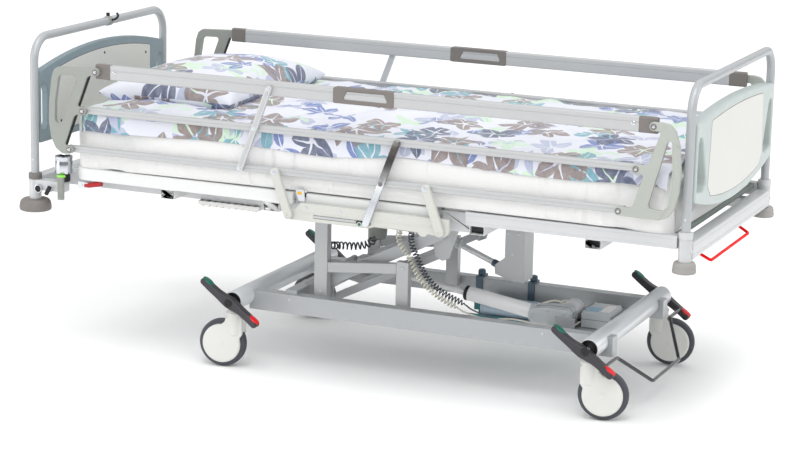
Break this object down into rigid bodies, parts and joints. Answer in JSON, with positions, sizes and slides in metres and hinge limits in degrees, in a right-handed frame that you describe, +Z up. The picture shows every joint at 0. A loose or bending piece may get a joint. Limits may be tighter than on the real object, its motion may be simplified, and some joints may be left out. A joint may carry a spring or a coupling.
{
  "type": "adjustable hospital bed",
  "caption": "Height-adjustable hospital bed on castors with a sectioned mattress platform, folding side rails, lift-out end boards, mattress, duvet and pillow.",
  "frame": {"origin": "on the floor under the middle of the whole bed's outline", "axes": "+X towards the foot end, +Y towards the far side, +Z up"},
  "size_m": [2.184, 0.9466, 1.0225],
  "materials": {
    "silver_paint": "satin powder coat",
    "base_paint": "satin powder coat",
    "white_paint": "satin powder coat",
    "cream_paint": "satin powder coat",
    "cream_plastic": "moulded",
    "grey_plastic": "moulded, fine grain",
    "blue_grey_plastic": "moulded",
    "pale_grey_plastic": "moulded",
    "tyre": "matte",
    "pedal_plastic": "moulded",
    "chrome": "polished",
    "aluminium": "satin",
    "red_paint": "gloss",
    "motor_grey": "moulded",
    "gas_blue": "satin",
    "teal_plastic": "moulded",
    "sheet_fabric": "woven cotton",
    "print_fabric": "printed woven cotton"
  },
  "bodies": {
    "base": {"base_frame": "base_paint", "cross_tube_head": "base_paint", "cross_tube_foot": "base_paint", "control_box": "motor_grey", "cylinder_cradle": "teal_plastic", "oxygen_cylinder": "gas_blue"},
    "arms_upper": {"lift_arm_upper": "base_paint"},
    "arms_lower": {"lift_arm_lower": "base_paint"},
    "lift_motor": {"lift_actuator_body": "white_paint"},
    "lift_rod": {"lift_actuator_rod": "chrome"},
    "pedals_head": {"brake_pedals_head": "pedal_plastic"},
    "pedals_foot": {"brake_pedals_foot": "pedal_plastic"},
    "upper_frame": {"main_frame": "silver_paint", "head_beam": "silver_paint", "foot_beam": "silver_paint", "seat_section": "white_paint", "mattress_seat": "sheet_fabric", "rail_bracket_near": "cream_paint", "rail_bracket_far": "cream_paint"},
    "back": {"back_section": "white_paint", "mattress_back": "sheet_fabric", "pillow": "print_fabric"},
    "thigh": {"thigh_section": "white_paint", "mattress_thigh": "sheet_fabric"},
    "calf": {"calf_section": "white_paint", "mattress_calf": "sheet_fabric"},
    "back_rod": {"back_actuator_rod": "aluminium"},
    "back_motor": {"back_actuator_body": "motor_grey"},
    "cpr": {"cpr_lever": "red_paint"},
    "foot_release": {"foot_release_bar": "red_paint"},
    "headboard": {"headboard_tube": "silver_paint", "headboard_panel": "blue_grey_plastic"},
    "footboard": {"footboard_tube": "silver_paint", "footboard_panel": "pale_grey_plastic"},
    "fork_head_near": {"caster_fork_head_near": "cream_plastic"},
    "wheel_head_near": {"caster_wheel_head_near": "tyre"},
    "fork_head_far": {"caster_fork_head_far": "cream_plastic"},
    "wheel_head_far": {"caster_wheel_head_far": "tyre"},
    "fork_foot_near": {"caster_fork_foot_near": "cream_plastic"},
    "wheel_foot_near": {"caster_wheel_foot_near": "tyre"},
    "fork_foot_far": {"caster_fork_foot_far": "cream_plastic"},
    "wheel_foot_far": {"caster_wheel_foot_far": "tyre"},
    "rail_arm_1_near": {"rail_arm_1_near": "cream_paint"},
    "rail_arm_2_near": {"rail_arm_2_near": "cream_paint"},
    "rail_bottom_bar_near": {"rail_bottom_bar_near": "silver_paint"},
    "rail_mid_bar_near": {"rail_mid_bar_near": "silver_paint"},
    "rail_top_bar_near": {"rail_top_bar_near": "silver_paint"},
    "rail_strut_a_near": {"rail_strut_a_near": "silver_paint"},
    "rail_strut_b_near": {"rail_strut_b_near": "chrome"},
    "rail_end_head_near": {"rail_end_head_near": "grey_plastic"},
    "rail_end_foot_near": {"rail_end_foot_near": "grey_plastic"},
    "rail_arm_1_far": {"rail_arm_1_far": "cream_paint"},
    "rail_arm_2_far": {"rail_arm_2_far": "cream_paint"},
    "rail_bottom_bar_far": {"rail_bottom_bar_far": "silver_paint"},
    "rail_mid_bar_far": {"rail_mid_bar_far": "silver_paint"},
    "rail_top_bar_far": {"rail_top_bar_far": "silver_paint"},
    "rail_strut_a_far": {"rail_strut_a_far": "silver_paint"},
    "rail_strut_b_far": {"rail_strut_b_far": "chrome"},
    "rail_end_head_far": {"rail_end_head_far": "grey_plastic"},
    "rail_end_foot_far": {"rail_end_foot_far": "grey_plastic"}
  },
  "joints": [
    {"name": "lift", "type": "hinge", "parent": "base", "child": "arms_upper", "pos_m": [-0.15275, 0, 0.264], "axis": [0, -1, 0], "range_deg": [-24, 43]},
    {"name": "lift_lower_arms", "type": "hinge", "parent": "base", "child": "arms_lower", "pos_m": [-0.15275, 0, 0.199], "axis": [0, -1, 0], "range_deg": [-24, 43]},
    {"name": "frame_level", "type": "hinge", "parent": "arms_upper", "child": "upper_frame", "pos_m": [0.22425, 0, 0.455], "axis": [0, -1, 0], "range_deg": [-43, 24]},
    {"name": "lift_actuator_tilt", "type": "hinge", "parent": "base", "child": "lift_motor", "pos_m": [0.61025, -0.085, 0.212], "axis": [0, -1, 0], "range_deg": [-1.75, 1.06]},
    {"name": "lift_actuator_stroke", "type": "slide", "parent": "lift_motor", "child": "lift_rod", "axis": [-0.9891, 0, 0.1471], "range_m": [-0.02886, 0.05091]},
    {"name": "swivel_head_near", "type": "hinge", "parent": "base", "child": "fork_head_near", "pos_m": [-0.38175, -0.327, 0.1815], "axis": [0, 0, 1], "continuous": true},
    {"name": "roll_head_near", "type": "hinge", "parent": "fork_head_near", "child": "wheel_head_near", "pos_m": [-0.42235, -0.33271, 0.075], "axis": [-0.1392, 0.9903, 0], "continuous": true},
    {"name": "swivel_head_far", "type": "hinge", "parent": "base", "child": "fork_head_far", "pos_m": [-0.38175, 0.327, 0.1815], "axis": [0, 0, 1], "continuous": true},
    {"name": "roll_head_far", "type": "hinge", "parent": "fork_head_far", "child": "wheel_head_far", "pos_m": [-0.42235, 0.32129, 0.075], "axis": [-0.1392, 0.9903, 0], "continuous": true},
    {"name": "swivel_foot_near", "type": "hinge", "parent": "base", "child": "fork_foot_near", "pos_m": [0.76625, -0.327, 0.1815], "axis": [0, 0, 1], "continuous": true},
    {"name": "roll_foot_near", "type": "hinge", "parent": "fork_foot_near", "child": "wheel_foot_near", "pos_m": [0.80685, -0.32129, 0.075], "axis": [-0.1392, 0.9903, 0], "continuous": true},
    {"name": "swivel_foot_far", "type": "hinge", "parent": "base", "child": "fork_foot_far", "pos_m": [0.76625, 0.327, 0.1815], "axis": [0, 0, 1], "continuous": true},
    {"name": "roll_foot_far", "type": "hinge", "parent": "fork_foot_far", "child": "wheel_foot_far", "pos_m": [0.80685, 0.33271, 0.075], "axis": [-0.1392, 0.9903, 0], "continuous": true},
    {"name": "brake_foot", "type": "hinge", "parent": "base", "child": "pedals_foot", "pos_m": [0.76625, 0, 0.213], "axis": [0, -1, 0], "range_deg": [0, 50]},
    {"name": "brake_head", "type": "hinge", "parent": "base", "child": "pedals_head", "pos_m": [-0.38175, 0, 0.213], "axis": [0, -1, 0], "range_deg": [0, 50]},
    {"name": "back_raise", "type": "hinge", "parent": "upper_frame", "child": "back", "pos_m": [-0.12275, 0, 0.587], "axis": [0, 1, 0], "range_deg": [0, 70]},
    {"name": "thigh_raise", "type": "hinge", "parent": "upper_frame", "child": "thigh", "pos_m": [0.31225, 0, 0.587], "axis": [0, -1, 0], "range_deg": [0, 35]},
    {"name": "calf_bend", "type": "hinge", "parent": "thigh", "child": "calf", "pos_m": [0.64225, 0, 0.587], "axis": [0, 1, 0], "range_deg": [0, 63.8]},
    {"name": "back_actuator_tilt", "type": "hinge", "parent": "upper_frame", "child": "back_rod", "pos_m": [0.36025, 0, 0.333], "axis": [0, -1, 0], "range_deg": [-0.2, 5.81]},
    {"name": "back_actuator_stroke", "type": "slide", "parent": "back_rod", "child": "back_motor", "axis": [-0.9322, 0, 0.362], "range_m": [-0.001, 0.10949]},
    {"name": "cpr_release", "type": "hinge", "parent": "back", "child": "cpr", "pos_m": [-0.86975, -0.375, 0.538], "axis": [0, -1, 0], "range_deg": [-14, 0]},
    {"name": "foot_release", "type": "hinge", "parent": "upper_frame", "child": "foot_release", "pos_m": [1.02225, 0, 0.505], "axis": [0, -1, 0], "range_deg": [0, 25]},
    {"name": "headboard_lift_out", "type": "slide", "parent": "upper_frame", "child": "headboard", "axis": [0, 0, 1], "range_m": [0, 0.12]},
    {"name": "footboard_lift_out", "type": "slide", "parent": "upper_frame", "child": "footboard", "axis": [0, 0, 1], "range_m": [0, 0.12]},
    {"name": "rail_fold_near", "type": "hinge", "parent": "upper_frame", "child": "rail_arm_1_near", "pos_m": [-0.14175, -0.4583, 0.532], "axis": [0, -1, 0], "range_deg": [0, 47.5]},
    {"name": "rail_arm_2_swing_near", "type": "hinge", "parent": "upper_frame", "child": "rail_arm_2_near", "pos_m": [0.34065, -0.4583, 0.532], "axis": [0, -1, 0], "range_deg": [0, 47.5]},
    {"name": "rail_bottom_level_near", "type": "hinge", "parent": "rail_arm_1_near", "child": "rail_bottom_bar_near", "pos_m": [-0.18755, -0.4583, 0.655], "axis": [0, -1, 0], "range_deg": [-47.5, 0]},
    {"name": "rail_end_head_swing_near", "type": "hinge", "parent": "rail_bottom_bar_near", "child": "rail_end_head_near", "pos_m": [-0.88315, -0.4583, 0.655], "axis": [0, -1, 0], "range_deg": [-47.5, 0]},
    {"name": "rail_end_foot_swing_near", "type": "hinge", "parent": "rail_bottom_bar_near", "child": "rail_end_foot_near", "pos_m": [0.87525, -0.4583, 0.655], "axis": [0, -1, 0], "range_deg": [-47.5, 0]},
    {"name": "rail_strut_a_swing_near", "type": "hinge", "parent": "rail_bottom_bar_near", "child": "rail_strut_a_near", "pos_m": [-0.30255, -0.4583, 0.655], "axis": [0, -1, 0], "range_deg": [-47.5, 0]},
    {"name": "rail_strut_b_swing_near", "type": "hinge", "parent": "rail_bottom_bar_near", "child": "rail_strut_b_near", "pos_m": [0.15375, -0.4583, 0.655], "axis": [0, -1, 0], "range_deg": [-47.5, 0]},
    {"name": "rail_mid_level_near", "type": "hinge", "parent": "rail_end_head_near", "child": "rail_mid_bar_near", "pos_m": [-0.83735, -0.4583, 0.778], "axis": [0, -1, 0], "range_deg": [0, 47.5]},
    {"name": "rail_top_level_near", "type": "hinge", "parent": "rail_end_head_near", "child": "rail_top_bar_near", "pos_m": [-0.79155, -0.4583, 0.901], "axis": [0, -1, 0], "range_deg": [0, 47.5]},
    {"name": "rail_fold_far", "type": "hinge", "parent": "upper_frame", "child": "rail_arm_1_far", "pos_m": [-0.14175, 0.4583, 0.532], "axis": [0, -1, 0], "range_deg": [0, 47.5]},
    {"name": "rail_arm_2_swing_far", "type": "hinge", "parent": "upper_frame", "child": "rail_arm_2_far", "pos_m": [0.34065, 0.4583, 0.532], "axis": [0, -1, 0], "range_deg": [0, 47.5]},
    {"name": "rail_bottom_level_far", "type": "hinge", "parent": "rail_arm_1_far", "child": "rail_bottom_bar_far", "pos_m": [-0.18755, 0.4583, 0.655], "axis": [0, -1, 0], "range_deg": [-47.5, 0]},
    {"name": "rail_end_head_swing_far", "type": "hinge", "parent": "rail_bottom_bar_far", "child": "rail_end_head_far", "pos_m": [-0.88315, 0.4583, 0.655], "axis": [0, -1, 0], "range_deg": [-47.5, 0]},
    {"name": "rail_end_foot_swing_far", "type": "hinge", "parent": "rail_bottom_bar_far", "child": "rail_end_foot_far", "pos_m": [0.87525, 0.4583, 0.655], "axis": [0, -1, 0], "range_deg": [-47.5, 0]},
    {"name": "rail_strut_a_swing_far", "type": "hinge", "parent": "rail_bottom_bar_far", "child": "rail_strut_a_far", "pos_m": [-0.30255, 0.4583, 0.655], "axis": [0, -1, 0], "range_deg": [-47.5, 0]},
    {"name": "rail_strut_b_swing_far", "type": "hinge", "parent": "rail_bottom_bar_far", "child": "rail_strut_b_far", "pos_m": [0.15375, 0.4583, 0.655], "axis": [0, -1, 0], "range_deg": [-47.5, 0]},
    {"name": "rail_mid_level_far", "type": "hinge", "parent": "rail_end_head_far", "child": "rail_mid_bar_far", "pos_m": [-0.83735, 0.4583, 0.778], "axis": [0, -1, 0], "range_deg": [0, 47.5]},
    {"name": "rail_top_level_far", "type": "hinge", "parent": "rail_end_head_far", "child": "rail_top_bar_far", "pos_m": [-0.79155, 0.4583, 0.901], "axis": [0, -1, 0], "range_deg": [0, 47.5]}
  ],
  "couplings": [
    {"joint": "lift_lower_arms", "follows": "lift", "ratio": 1},
    {"joint": "frame_level", "follows": "lift", "ratio": -1},
    {"joint": "lift_actuator_tilt", "follows": "lift", "ratio": -0.036},
    {"joint": "lift_actuator_stroke", "follows": "lift", "m_per_rad": 0.0665},
    {"joint": "brake_head", "follows": "brake_foot", "ratio": 1},
    {"joint": "calf_bend", "follows": "thigh_raise", "ratio": 1.82},
    {"joint": "back_actuator_tilt", "follows": "back_raise", "ratio": 0.0802},
    {"joint": "back_actuator_stroke", "follows": "back_raise", "m_per_rad": 0.0888},
    {"joint": "rail_arm_2_swing_near", "follows": "rail_fold_near", "ratio": 1},
    {"joint": "rail_bottom_level_near", "follows": "rail_fold_near", "ratio": -1},
    {"joint": "rail_end_head_swing_near", "follows": "rail_fold_near", "ratio": -1},
    {"joint": "rail_end_foot_swing_near", "follows": "rail_fold_near", "ratio": -1},
    {"joint": "rail_strut_a_swing_near", "follows": "rail_fold_near", "ratio": -1},
    {"joint": "rail_strut_b_swing_near", "follows": "rail_fold_near", "ratio": -1},
    {"joint": "rail_mid_level_near", "follows": "rail_fold_near", "ratio": 1},
    {"joint": "rail_top_level_near", "follows": "rail_fold_near", "ratio": 1},
    {"joint": "rail_arm_2_swing_far", "follows": "rail_fold_far", "ratio": 1},
    {"joint": "rail_bottom_level_far", "follows": "rail_fold_far", "ratio": -1},
    {"joint": "rail_end_head_swing_far", "follows": "rail_fold_far", "ratio": -1},
    {"joint": "rail_end_foot_swing_far", "follows": "rail_fold_far", "ratio": -1},
    {"joint": "rail_strut_a_swing_far", "follows": "rail_fold_far", "ratio": -1},
    {"joint": "rail_strut_b_swing_far", "follows": "rail_fold_far", "ratio": -1},
    {"joint": "rail_mid_level_far", "follows": "rail_fold_far", "ratio": 1},
    {"joint": "rail_top_level_far", "follows": "rail_fold_far", "ratio": 1}
  ]
}
